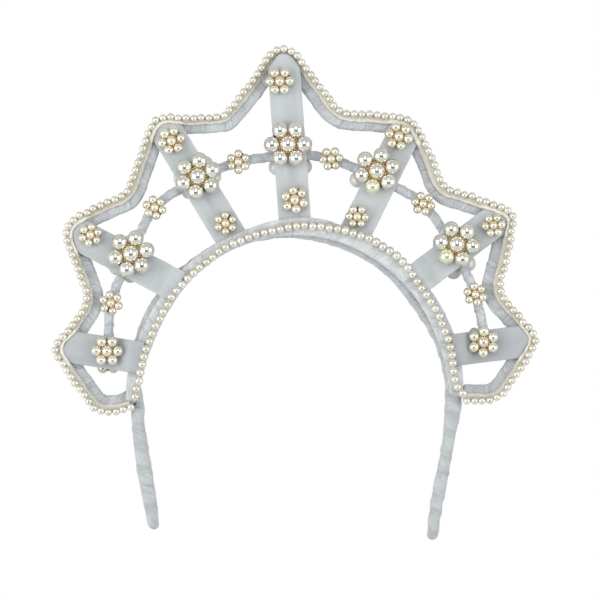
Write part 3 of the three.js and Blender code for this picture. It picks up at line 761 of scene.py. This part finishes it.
# How a strip is wound: step, pitch, fold, lump and end are millimetres, end is what tapers, hand
# is the way round, and dark is how much painted shade the ribbon gets at its covered edge.
FLAT_WOUND = dict(
    step=0.5, sides=28, squareness=4.5, pitch=10.5, hand=1, fold=0.36, lump=0.2, end=1.2, dark=0.45)
ROUND_WOUND = dict(
    step=0.45, sides=24, squareness=2.3, pitch=7.5, hand=1, fold=0.42, lump=0.16, end=1.2, dark=0.7)
BAND_WOUND = dict(
    step=0.45, sides=24, squareness=2.4, pitch=9.5, hand=-1, fold=0.34, lump=0.24, end=2.6, dark=0.35)
FRONT_WOUND = dict(
    step=0.5, sides=24, squareness=4, pitch=12, hand=-1, fold=0.24, lump=0.12, end=1.2, dark=0.6)
# The front strip reaches down to the hair band, but not where a bar's foot runs under it.
STRIP_CLEARANCE = 0.3
UNDER_EASE = 3.0
UNDER_SHARES = (-0.1, 0.4)
BAND_THICK = 6
BAND_BEHIND = 2.6


def wind(node_name, slot, edges, low, high, material, look, seed):
    """Winds ribbon round one node's strip. low and high are a number, or one to each point."""
    low, high = (np.broadcast_to(v, len(edges[0])) for v in (low, high))
    ribbon = wound_strip(node_name + "_ribbon", (*edges, low, high), material, look, seed)
    settle(ribbon, slot, node_name)


def make_rim_strip():
    outer = rim_line(lambda row: 0)
    inner = rim_line(lambda row: row["deep"] * RIM_WIDTH)
    edges = [reached_on(line, *RIM_ENDS) for line in (inner, outer)]
    wind("rim_strip", "wrap", edges, *low_high("rim_strip"), WRAP, FLAT_WOUND, 11)


def make_arch_strip():
    inner = arch_line("inner")
    outer = arch_line("outer")
    low, high = low_high("arch_strip")
    down = low - low_high("hair_band")[1] - STRIP_CLEARANCE
    held_up = beside_bars((inner + outer) / 2, UNDER_EASE, UNDER_SHARES, UNDER_STRIP)
    low = low - down * (1 - held_up)
    wind("arch_strip", "satin", (inner, outer), low, high, PALE_WRAP, FRONT_WOUND, 23)


def edges_of(line, widths):
    """The left and right edge of a strip. widths is a number, or one to each point."""
    across = right_of(headings(line)) * np.broadcast_to(widths, len(line))[:, None] / 2
    return line - across, line + across


def make_cross_wire():
    line = spline([polar(degrees, reach * ARCH_RADIUS) for degrees, reach in CROSS_WIRE], 10)
    edges = edges_of(line, WIRE_WIDTH)
    wind("cross_wire", "wrap", edges, *low_high("cross_wire"), WIRE_WRAP, ROUND_WOUND, 37)


def make_hair_band():
    def leg(rows):
        return [((across * ARCH_RADIUS, -drop * LEG_DROP), wide, lift) for drop, across, wide, lift in rows]
    arch = [(tuple(polar(degrees, reach * ARCH_RADIUS)), 1, 1) for degrees, reach in BAND_ARCH]
    rows = leg(RIGHT_LEG) + arch + leg(LEFT_LEG)[::-1]
    per_row = 12
    line = spline([row[0] for row in rows], per_row)
    share = np.arange(len(line)) / per_row
    width = np.interp(share, range(len(rows)), [row[1] for row in rows])
    lift = np.interp(share, range(len(rows)), [row[2] for row in rows])
    edges = edges_of(line, width * BAND_WIDTH)
    low = lift * (low_high("arch_strip")[0] - BAND_BEHIND - BAND_THICK)
    high = low + BAND_THICK * np.minimum(1, width)
    wind("hair_band", "satin", edges, low, high, BAND_WRAP, BAND_WOUND, 53)


# Bars

FOOT_SHARE = -0.02
TIP_INSET = 2.3
TIP_TANGENTS = 9
TIP_SEARCH = (0.6, 1.1)
LEAST_TIP = 0.2
LEAST_REACH = 0.05
LEAST_SLOPE = 1e-6
ROW_STEP = 0.55
TIP_CLOSER = 0.9
BAR_SIDES = 60
BAR_SQUARENESS = 7
FACE_SHARE = 0.42
END_ROUND = 0.9
FOOT_AHEAD = 0.2
LEAST_END = 0.02
CROWN_RISE = 0.5
CREASE_DEPTH = 0.35
CREASE_SHADE = 0.5
CREASE_ENDS = 0.06
PAINTED_SHADE_SHARES = (0.2, 0.8)
# Slow waves in a bar's face and edges: height, millimetres of a wave, and seed.
FACE_WAVE = (0.12, 11, 70)
EDGE_WAVE = (0.1, 7, 90)
# Each bar's texture starts this much further on, so that no two are alike.
TEXTURE_APART = 31
# A bar over the front strip starts just outside the pearls, thinned, and slopes down past the strip.
OVER_START = 0.4
OVER_CLEARANCE = 0.15
OVER_THINNED = 0.6
SLOPE_END = 8.5
SLOPE_LENGTH = 8.2


def tip_planes(bar):
    """Lines that the bar's tip stays inside of: the rim's sides and its rounded peak."""
    corner = list(RIM).index("peak%d" % bar)
    planes = []
    for i in (corner - 1, corner):
        bow = max(-RIM_ROWS[i]["bow"] * RIM_WIDTH, 0)
        inward = right_of(RIM_SIDES[i])
        planes.append((RIM_CORNERS[i] + inward * (TIP_INSET + bow), inward))
    bend = corner_bend(corner, RIM_CORNERS[corner], RIM_SIDES, 0)
    for k in range(TIP_TANGENTS + 1):
        t = k / TIP_TANGENTS
        tangent = unit((bend[1] - bend[0]) * (1 - t) + (bend[2] - bend[1]) * t)
        inward = right_of(tangent)
        planes.append((bend_point(bend, t) + inward * TIP_INSET, inward))
    return planes


def bar_extent(distance, axis, planes):
    """How far the bar reaches to its right and left at a distance along its axis."""
    start, along, left, _ = axis
    least = -BAR_WIDTH / 2
    most = BAR_WIDTH / 2
    for point, inward in planes:
        slope = float(inward @ left)
        need = float(inward @ (point - start)) - float(inward @ along) * distance
        if slope > LEAST_SLOPE:
            least = max(least, need / slope)
        elif slope < -LEAST_SLOPE:
            most = min(most, need / slope)
        elif need > 0:
            return 0.0, 0.0
    return least, most


def bar_crease(bar, across, share):
    """How deep a bar's lengthwise crease is, from 0 to 1, at a share of the bar's length."""
    if bar not in CREASES:
        return np.zeros(len(across))
    row = CREASES[bar]
    aside = np.interp(share, (row["start"], row["end"]), (row["aside_start"], row["aside_end"]))
    ends = smooth((share - row["start"]) / CREASE_ENDS) * smooth((row["end"] - share) / CREASE_ENDS)
    return np.exp(-(((across - aside) / row["width"]) ** 2)) * ends


def slow_wave(row, s, bar):
    height, length, seed = row
    return height * ripple(np.array(s / length), seed + bar)


def make_bar(bar):
    axis = bar_axis(bar)
    start, along, left, length = axis
    planes = tip_planes(bar)
    fine = np.linspace(length * TIP_SEARCH[0], length * TIP_SEARCH[1], 800)
    widths = [bar_extent(s, axis, planes) for s in fine]
    tip = max(s for s, (least, most) in zip(fine, widths) if most - least > LEAST_TIP)
    low, high = low_high("bar_%d" % bar)
    over = bar in OVER_STRIP
    strip_edge = arch_reach("outer", BARS[bar]["foot"]) - ARCH_RADIUS
    pearl_line = arch_reach("pearl", BARS[bar]["foot"]) - ARCH_RADIUS
    foot = pearl_line + OVER_START if over else FOOT_SHARE * length
    climb = low_high("arch_strip")[1] - low + OVER_CLEARANCE if over else 0.0
    stretch = tip - foot
    rows = int(stretch / ROW_STEP)
    places = foot + stretch * np.sin(np.linspace(0, math.pi / 2, rows)) ** TIP_CLOSER
    places = np.unique(np.concatenate((places, np.linspace(foot, tip, rows))))
    turns = round_angles(BAR_SIDES)
    across, up, _, _ = superellipse(turns + FACE_SHARE * np.sin(2 * turns), BAR_SQUARENESS)
    mid = (low + high) / 2
    half = (high - low) / 2 - CROWN_RISE / 2
    points = []
    texture = []
    tones = []
    for s in places:
        least, most = bar_extent(s, axis, planes)
        centre = (least + most) / 2
        reach = max((most - least) / 2, LEAST_REACH)
        blunt = np.clip((tip - s) / BARS[bar]["blunt"], 0, 1)
        reach = max(min(reach, BAR_WIDTH / 2 * math.sqrt(1 - (1 - blunt) ** 2)), LEAST_REACH)
        end = np.clip(min(tip - s, s - foot + FOOT_AHEAD) / END_ROUND, LEAST_END, 1)
        round_off = math.sqrt(1 - (1 - end) ** 2)
        rise = climb * smooth((strip_edge + SLOPE_END - s) / SLOPE_LENGTH)
        thin = 1 - OVER_THINNED * (rise / climb if climb else 0)
        swell = slow_wave(FACE_WAVE, s, bar) * (1 - across**2)
        pull = slow_wave(EDGE_WAVE, s, bar)
        aside = centre + across[:, None] * (reach + pull * 0.5 * round_off)
        place = start[None, :] + along * s + left * aside
        height = mid + rise + up * half * thin * round_off
        height = height + np.where(up > 0, (CROWN_RISE * (1 - across**2) + swell) * round_off, 0)
        points.append(np.column_stack((place, height))[:-1])
        texture.append(np.column_stack((across * reach + TEXTURE_APART * bar, np.full(len(across), s))))
        crease = bar_crease(bar, across, s / length)[:-1]
        points[-1][:, 2] -= CREASE_DEPTH * crease * (up[:-1] > 0)
        # Painted shade, eased from the bar's foot to its tip.
        dull = np.interp(s / length, PAINTED_SHADE_SHARES, BARS[bar]["dull"])
        # The creases are darkened with painted shade as well.
        tones.append(np.clip(dull + CREASE_SHADE * crease, 0, 1))
    faces, corners = tube_faces(len(places), BAR_SIDES)
    uvs = np.array(texture)[corners[:, 0], corners[:, 1]]
    name = "bar_%d_satin" % bar
    piece = new_object(name, np.concatenate(points), faces, [BAR_SATIN], uvs, np.concatenate(tones))
    settle(piece, "satin", "bar_%d" % bar)


# Tape and strings of pearls

TAPE_STEP = 0.8
TAPE_SIDES = 24
TAPE_SQUARENESS = 5
TAPE_FULLNESS = 0.8
# Where the tape climbs over a bar's tip, and how high at its outer and its inner edge.
CLIMB_EASE = 2.2
CLIMB_SHARES = (0.6, 2)
CLIMB_END = 2.1
TAPE_CLIMB = (0.5, 3.1)
# The tape turns tan from one share of its half width on towards its inner edge, and fully another share
# later.
TAN_FROM = 0.66
TAN_OVER = 0.22
THREAD = 0.28
KNOT_TURNS = (0.4, 1.9)
KNOT_STEPS = 12
# A string's pearls and pitch in millimetres, the side of its line that the glue lies on, and
# the size of the glue's crumbs.
RIM_STRING = dict(pearl=RIM_PEARL, pitch=3.77, glue_side=1, glue_size=0.78, seed=101)
ARCH_STRING = dict(pearl=ARCH_PEARL, pitch=4.02, glue_side=-1, glue_size=0.35, seed=202)


def make_tape():
    outer = rim_line(lambda row: TAPE_EDGE)
    inner = rim_line(lambda row: row["tape"])
    low, high = low_high("rim_tape")
    inner, outer = (reached_on(line, *RIM_ENDS) for line in (inner, outer))
    along, (inner, outer) = sampled((inner, outer), TAPE_STEP)
    side = (outer - inner) / lengths(outer - inner)
    inner = inner + side * (0.3 * ripple(along / 9, 5))[:, None]
    across, up, _, _ = superellipse(round_angles(TAPE_SIDES)[None, :], TAPE_SQUARENESS)
    reach = lengths(outer - inner) / 2
    middle = (inner + outer) / 2
    inner_share = np.clip((1 - across[:, :-1]) / 2, 0, 1)
    edge_lift = 0.18 * ripple(along / 5, 8)[:, None] * inner_share
    inwards = TAPE_EDGE + inner_share * 2 * reach
    over_tips = beside_bars(inner, CLIMB_EASE, CLIMB_SHARES, UNDER_TAPE)[:, None]
    climb = over_tips * np.interp(inwards, (TAPE_EDGE, CLIMB_END), TAPE_CLIMB)
    thick = up[:, :-1] * ((high - low) / 2) * TAPE_FULLNESS
    points = ring_points(middle, side, across[:, :-1] * reach, (low + high) / 2 + thick + edge_lift + climb)
    faces, corners = tube_faces(len(along), TAPE_SIDES)
    texture_v = np.broadcast_to(along[:, None], (len(along), TAPE_SIDES + 1))
    grid = np.stack((across * reach, texture_v), axis=2)
    tan_edge = np.clip((-across[:, :-1] - TAN_FROM) / TAN_OVER, 0, 1)
    tones = np.clip(tan_edge * (0.6 + 0.5 * ripple(along / 4, 9))[:, None], 0, 1).ravel()
    uvs = grid[corners[:, 0], corners[:, 1]]
    settle(new_object("rim_tape_weave", points, faces, [TAPE], uvs, tones), "tape", "rim_tape")


def make_knot(heap, end, out, height, rng):
    """The thread's knot past the last pearl: two crossed loops and a cut end."""
    side = -right_of(out)
    for turn in KNOT_TURNS:
        loop = []
        for k in range(KNOT_STEPS + 1):
            angle = TURN * k / KNOT_STEPS
            flat = out * math.cos(angle) * 0.75 + side * math.sin(angle) * math.cos(turn) * 0.7
            loop.append((*(end + out * 0.4 + flat), height - 0.3 + 0.45 * math.sin(angle) * math.sin(turn)))
        heap.tube(loop, 0.22, 0.5, 2)
    cut = [(*(end + out * (0.5 + 0.5 * k) + side * 0.25 * k), height - 0.2 - 0.12 * k) for k in range(4)]
    heap.tube(cut, 0.2 * rng.uniform(0.9, 1.1), 0.5, 2)


def make_string(name, node_name, line, look, tied=False):
    """A string of pearls along a line, with its thread and the glue that shows between them."""
    pearl = look["pearl"]
    pitch = look["pitch"]
    low, high = low_high(node_name)
    height = (low + high) / 2
    along = distances(line)
    count = int(round((along[-1] - pitch) / pitch)) + 1
    places = np.linspace(pitch / 2, along[-1] - pitch / 2, count)
    rng = np.random.default_rng(look["seed"])
    at = np.stack([np.interp(places, along, line[:, c]) for c in range(2)], axis=1)
    heading = headings(at)
    inward = right_of(heading) * look["glue_side"]
    heap = Heap()
    for i in range(count):
        sway = rng.normal(0, (0.07, 0.2))
        size = pearl / 2 * rng.uniform(0.96, 1.01)
        angle = math.atan2(heading[i][1], heading[i][0])
        centre = (*(at[i] + heading[i] * sway[0] + inward[i] * sway[1]), height + rng.normal(0, 0.12))
        squash = rng.uniform(0.95, 0.99)
        heap.ball(centre, (size * squash, size, size), rng.uniform(0.1, 1.0), 0, None, angle)
    heap.tube(np.column_stack((line, np.full(len(line), height - 0.2))), THREAD, 0.5, 1)
    for i in range(count - 1):
        gap = (at[i] + at[i + 1]) / 2
        side = inward[i] * rng.uniform(0.1, 0.75)
        size = look["glue_size"] * rng.uniform(0.55, 1.15)
        centre = (*(gap + side), height - pearl * rng.uniform(0.12, 0.3))
        heap.ball(centre, (size, size * 1.2, size), 0.5, 1, CRUMB, rng.uniform(0, 3))
    if tied:
        make_knot(heap, line[0], unit(line[0] - line[1]), height, rng)
    settle(heap.made(name, [STRUNG, TAN, BROWN]), "cream_pearl", node_name)


# Flowers

FIRST_FLOWER_SEED = 300
# Pearls over the first size in millimetres are white, and over the second they are finer balls.
WHITE_OVER = 7
FINE_OVER = 5
PETALS = 6
# Shares of a flower's pearl or of its ring of pearls, and counts of turns and steps.
RING_SHARE = 0.985
HEART_RISE = 0.05
HIDDEN_SINK = 0.4
SHADE_PAD_SHARE = 0.585
COIL_SHARE = 0.515
COIL_SWING = 0.07
COIL_TURNS = 9
COIL_STEPS = 48
SPOKE_SHARES = (0.45, 0.6, 0.72, 0.82)
WIRE_THICK = 0.024
END_SHARE = 0.86
TWIST_STEPS = 14


def twisted_end(heap, centre, degrees, reach, height, pearl, rng):
    """The two twisted ends of the wire that ties a flower, bent over at a gap between petals."""
    out = np.append(polar(degrees, 1), 0)
    side = np.array((-out[1], out[0], 0))
    base = np.array((centre[0], centre[1], height))
    length = min(0.55 * pearl, 2.6)
    for strand in range(2):
        line = []
        for k in range(TWIST_STEPS + 1):
            t = k / TWIST_STEPS
            angle = 2.6 * math.pi * t + strand * math.pi
            coil = 0.26 * (side * math.cos(angle) + np.array((0, 0, 1)) * math.sin(angle))
            rise = np.array((0, 0, 0.35 * math.sin(t * 2.4)))
            line.append(base + out * (reach + length * (t - 0.55)) + coil + rise)
        heap.tube(line, 0.2 * (1 + 0.1 * rng.normal()), 0.5, 2)
    heap.ball(base + out * (reach + length * 0.45), (0.42, 0.36, 0.34), 0.5, 2, CRUMB, rng.uniform(0, 3))


def make_flower(name, turn, end, seed):
    low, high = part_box(name)
    middle = (np.array(low[:2]) + np.array(high[:2])) / 2 / MM - ARCH_CENTRE
    pearl = (high[2] - low[2]) / MM
    height = (low[2] + high[2]) / 2 / MM
    rng = np.random.default_rng(seed)
    is_white = pearl > WHITE_OVER
    hidden = name.startswith("back")
    ball = FINE_BALL if pearl > FINE_OVER else BALL
    ring = pearl * RING_SHARE
    heap = Heap()
    heap.ball((*middle, height + HEART_RISE * pearl), (pearl / 2,) * 3, rng.uniform(0.4, 1), 0, ball)
    for k in range(PETALS):
        degrees = turn + 60 * k + rng.normal(0, 1.2)
        at = middle + polar(degrees, ring * rng.uniform(0.985, 1.01))
        size = pearl / 2 * rng.uniform(0.96, 1.0)
        kind = 3 if TINTED.get(name) == k else 0
        sink = abs(rng.normal(0, 0.03)) * pearl * (HIDDEN_SINK if hidden else -1)
        radii = (size, size, size * 0.98)
        heap.ball((*at, height + sink), radii, rng.uniform(0.2, 1), kind, ball, rng.uniform(0, 3))
    # A flat amber ball under the heart, seen in the gaps between the pearls: painted shade and painted
    # reflection of the amber wire.
    shade_pad = SHADE_PAD_SHARE * ring
    heap.ball((*middle, height - 0.2 * pearl), (shade_pad, shade_pad, 0.22 * pearl), 0.5, 1)
    for strand in range(2):
        line = []
        for k in range(COIL_STEPS + 1):
            angle = TURN * k / COIL_STEPS
            coil = COIL_TURNS * angle + strand * math.pi
            swing = COIL_SWING * pearl * math.sin(coil)
            at = middle + polar(math.degrees(angle), ring * COIL_SHARE + swing)
            line.append((*at, height + 0.13 * pearl + 0.05 * pearl * math.cos(coil)))
        heap.tube(line, WIRE_THICK * pearl + 0.05, 0.5, 1)
    for k in range(PETALS):
        degrees = turn + 60 * k + 30
        line = [(*(middle + polar(degrees, ring * t)), height + 0.04 * pearl) for t in SPOKE_SHARES]
        heap.tube(line, WIRE_THICK * pearl + 0.04, 0.5, 1)
    twisted_end(heap, middle, end, ring * END_SHARE, height - 0.02 * pearl, pearl, rng)
    # Hidden flowers with white pearls take the lightened copy, painted light against their shade.
    pearls = CREAM if not is_white else LIGHTENED_BACK_WHITE if hidden else WHITE
    slot = "white_pearl" if is_white or hidden else "cream_pearl"
    settle(heap.made(name + "_pearls", [pearls, AMBER, DARK, GREENISH]), slot, name)


# Stage, in metres but for the photograph's middle and span, which are millimetres

PHOTO_MIDDLE = (2.4, -3.15)
PHOTO_SPAN = 294.0
CAMERA_HEIGHT = 1.6
FRONT_HEIGHT = 0.014
SENSOR = 36.0
FLOOR_REACH = 3.0
FLOOR_DEPTH = -0.0003
# The world is light but for a dark patch round the camera, which the pearls mirror. It is
# stretched by two factors and moved down, and its edge runs between two radii.
CAMERA_WIDE = 0.6
CAMERA_HIGH = 1.15
CAMERA_BELOW = 0.25
DARK_EDGE = (0.24, 0.34)
DARK_SHARE = 0.02
# The world's light from the near side to the far side.
WORLD_SPAN = (-0.5, 0.7)
WORLD_LIGHT = (0.72, 0.53)
LIGHTS = {
    "left softbox": dict(place=(-0.96, -0.05, 0.72), size=(0.95, 0.9), power=7.1),
    "right softbox": dict(place=(0.98, 0.0, 0.74), size=(0.85, 0.75), power=4.9),
    "strip light": dict(place=(0.0, 0.5, 1.08), size=(0.4, 0.8), power=1.9),
}


def make_camera():
    data = bpy.data.cameras.new("camera")
    data.sensor_width = SENSOR
    data.lens = SENSOR * (CAMERA_HEIGHT - FRONT_HEIGHT) / (PHOTO_SPAN * MM)
    camera = linked("camera", data)
    camera.location = (PHOTO_MIDDLE[0] * MM, PHOTO_MIDDLE[1] * MM, CAMERA_HEIGHT)
    bpy.context.scene.camera = camera


def make_light(name, place, size, power):
    """A rectangular light that points at the origin."""
    data = bpy.data.lights.new(name, "AREA")
    data.shape = "RECTANGLE"
    data.size, data.size_y = size
    data.energy = power
    light = linked(name, data)
    light.location = place
    light.rotation_euler = (-Vector(place)).to_track_quat("-Z", "Y").to_euler()


def make_floor():
    """A pale floor that takes shadows and light, and that the camera sees as plain white."""
    mesh = bpy.data.meshes.new("floor")
    signs = ((-1, -1), (1, -1), (1, 1), (-1, 1))
    corners = [(x * FLOOR_REACH, y * FLOOR_REACH, FLOOR_DEPTH) for x, y in signs]
    mesh.from_pydata(corners, [], [(0, 1, 2, 3)])
    floor = linked("floor", mesh)
    material, tree, shader = new_material("pale floor")
    set_inputs(shader, Base_Color=(0.75, 0.75, 0.75, 1), Roughness=0.9)
    glow = node(tree, "Emission", Color=(1, 1, 1, 1), Strength=1.0)
    seen = node(tree, "LightPath").outputs["Is Camera Ray"]
    both = node(tree, "MixShader", Fac=seen)
    tree.links.new(shader.outputs["BSDF"], both.inputs[1])
    tree.links.new(glow.outputs["Emission"], both.inputs[2])
    tree.links.new(both.outputs["Shader"], tree.nodes["Material Output"].inputs["Surface"])
    mesh.materials.append(material)


def make_world():
    world = bpy.data.worlds.new("studio")
    world.use_nodes = True
    tree = world.node_tree
    sky = tree.nodes["Background"]
    direction = node(tree, "TexCoord").outputs["Generated"]
    parts = node(tree, "SeparateXYZ", Vector=direction)
    x, y = (parts.outputs[axis] for axis in "XY")
    flat_x = times(tree, x, CAMERA_WIDE)
    flat_y = times(tree, math_node(tree, "ADD", y, CAMERA_BELOW), CAMERA_HIGH)
    squares = math_node(tree, "ADD", times(tree, flat_x, flat_x), times(tree, flat_y, flat_y))
    dark = remapped(tree, math_node(tree, "SQRT", squares), *DARK_EDGE, DARK_SHARE, 1.0)
    ahead = remapped(tree, y, *WORLD_SPAN, *WORLD_LIGHT)
    tree.links.new(times(tree, dark, ahead), sky.inputs["Strength"])
    sky.inputs["Color"].default_value = (0.985, 0.99, 1, 1)
    bpy.context.scene.world = world


make_camera()
make_rim_strip()
make_arch_strip()
make_cross_wire()
make_hair_band()
for number in BARS:
    make_bar(number)
make_tape()
rim_string_line = reached_on(rim_line(lambda row: 0), *STRING_ENDS)
make_string("rim_pearl_string", "rim_pearls", rim_string_line, RIM_STRING, tied=True)
make_string("arch_pearl_string", "arch_pearls", arch_line("pearl", 16), ARCH_STRING)
flower_seed = FIRST_FLOWER_SEED
for flower_kind, flowers in FLOWERS.items():
    for number, (petal_turn, wire_end) in flowers.items():
        make_flower("%s_%d" % (flower_kind, number), petal_turn, wire_end, flower_seed)
        flower_seed += 1
make_floor()
make_world()
for light_name, light_row in LIGHTS.items():
    make_light(light_name, **light_row)
bpy.context.scene.view_settings.view_transform = "Standard"
